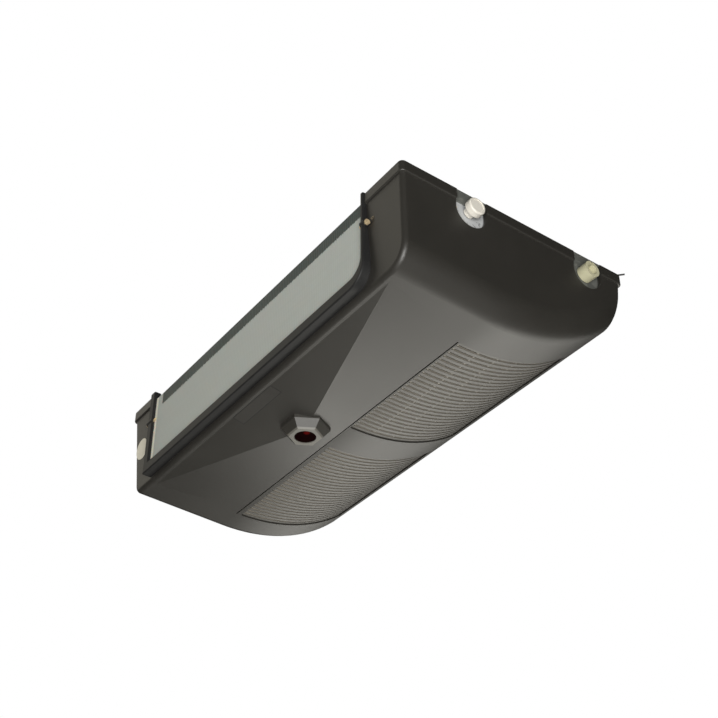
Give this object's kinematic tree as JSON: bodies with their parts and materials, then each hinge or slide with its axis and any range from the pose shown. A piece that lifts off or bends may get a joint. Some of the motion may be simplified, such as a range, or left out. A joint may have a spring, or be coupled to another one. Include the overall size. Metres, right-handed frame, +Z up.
{
  "type": "garage door opener",
  "caption": "Ceiling-hung garage door opener head: moulded cover with light lens, vent grilles and sensor window, adjusting knobs, and a motor that turns a chain sprocket.",
  "frame": {"origin": "centre of the four hanging-bolt holes, on the chassis plate's top face", "axes": "+X from the knob end to the supply end, +Y towards the light lens, +Z up, out of the chassis plate"},
  "size_m": [0.4073, 0.2247, 0.123],
  "materials": {
    "cover_plastic": "fine moulded grain",
    "frame_plastic": "satin black",
    "lens_plastic": "translucent, finely ribbed",
    "window_filter": "dark filter",
    "brass_screw": "passivated",
    "zinc_sheet": "galvanised",
    "steel": "machined",
    "zinc_screw": "zinc plated",
    "dial_print": "printed silver",
    "white_knob": "moulded",
    "cream_knob": "moulded",
    "spindle": "turned",
    "control_body": "moulded",
    "board": "solder mask",
    "spacer": "nylon",
    "relay": "moulded",
    "chip": "moulded",
    "terminal": "moulded",
    "cast_case": "die cast",
    "wheel_plastic": "glass-filled nylon",
    "bronze": "sintered",
    "motor_paint": "satin",
    "lamination": "stacked sheet",
    "copper": "varnished winding",
    "encoder_plastic": "moulded",
    "capacitor_can": "moulded",
    "reflector_white": "white enamel",
    "holder": "moulded",
    "bulb_cap": "rolled",
    "bulb_glass": "frosted",
    "rubber_black": "moulded",
    "button_plastic": "moulded"
  },
  "bodies": {
    "head": {"cover": "cover_plastic", "lens_frame": "frame_plastic", "light_lens": "lens_plastic", "lens_screws": "brass_screw", "near_grille": "cover_plastic", "far_grille": "cover_plastic", "hex_bezel": "cover_plastic", "indicator_window": "window_filter", "sensor": "chip", "chassis": "zinc_sheet", "rail_seat": "zinc_sheet", "cover_screws": "zinc_screw", "dial_plate": "dial_print", "force_control": "control_body", "limit_control": "control_body", "control_board": "board", "board_spacers": "spacer", "relays": "relay", "board_parts": "chip", "terminal_block": "terminal", "gear_case": "cast_case", "gear_lid": "cast_case", "lid_screws": "zinc_screw", "worm_bearings": "steel", "shaft_bushes": "bronze", "motor_can": "motor_paint", "front_bell": "cast_case", "rear_bell": "cast_case", "stator": "lamination", "motor_bearings": "steel", "motor_strap": "zinc_sheet", "transformer_core": "lamination", "transformer_coil": "copper", "capacitor": "capacitor_can", "capacitor_clip": "zinc_sheet", "reflector": "reflector_white", "lamp_holders": "holder", "bulb_caps": "bulb_cap", "bulbs": "bulb_glass", "cord_gland": "rubber_black", "button_switch": "chip", "antenna_wire": "rubber_black", "antenna_grommet": "rubber_black"},
    "motor_rotor": {"rotor": "copper", "rotor_shaft": "steel", "worm": "steel", "encoder_disc": "encoder_plastic"},
    "output_drive": {"output_shaft": "steel", "worm_wheel": "wheel_plastic", "sprocket": "steel", "sprocket_clip": "steel"},
    "force_dial": {"force_knob": "white_knob", "force_spindle": "spindle"},
    "limit_dial": {"limit_knob": "cream_knob", "limit_spindle": "spindle"},
    "learn_key": {"learn_button": "button_plastic"}
  },
  "joints": [
    {"name": "rotor_spin", "type": "hinge", "parent": "head", "child": "motor_rotor", "pos_m": [0, -0.036, -0.036], "axis": [1, 0, 0], "continuous": true},
    {"name": "output_spin", "type": "hinge", "parent": "head", "child": "output_drive", "pos_m": [0.036, 0.003, 0], "axis": [0, 0, 1], "continuous": true},
    {"name": "force_turn", "type": "hinge", "parent": "head", "child": "force_dial", "pos_m": [-0.2, 0.0445, -0.0085], "axis": [-1, 0, 0], "range_deg": [-135, 135]},
    {"name": "limit_turn", "type": "hinge", "parent": "head", "child": "limit_dial", "pos_m": [-0.2, -0.0725, -0.0085], "axis": [-1, 0, 0], "range_deg": [-135, 135]},
    {"name": "learn_press", "type": "slide", "parent": "head", "child": "learn_key", "axis": [-1, 0, 0], "range_m": [0, 0.0015], "stiffness_N_per_m": 400, "springref_m": -0.001}
  ],
  "couplings": [
    {"joint": "output_spin", "follows": "rotor_spin", "ratio": -0.033333}
  ]
}
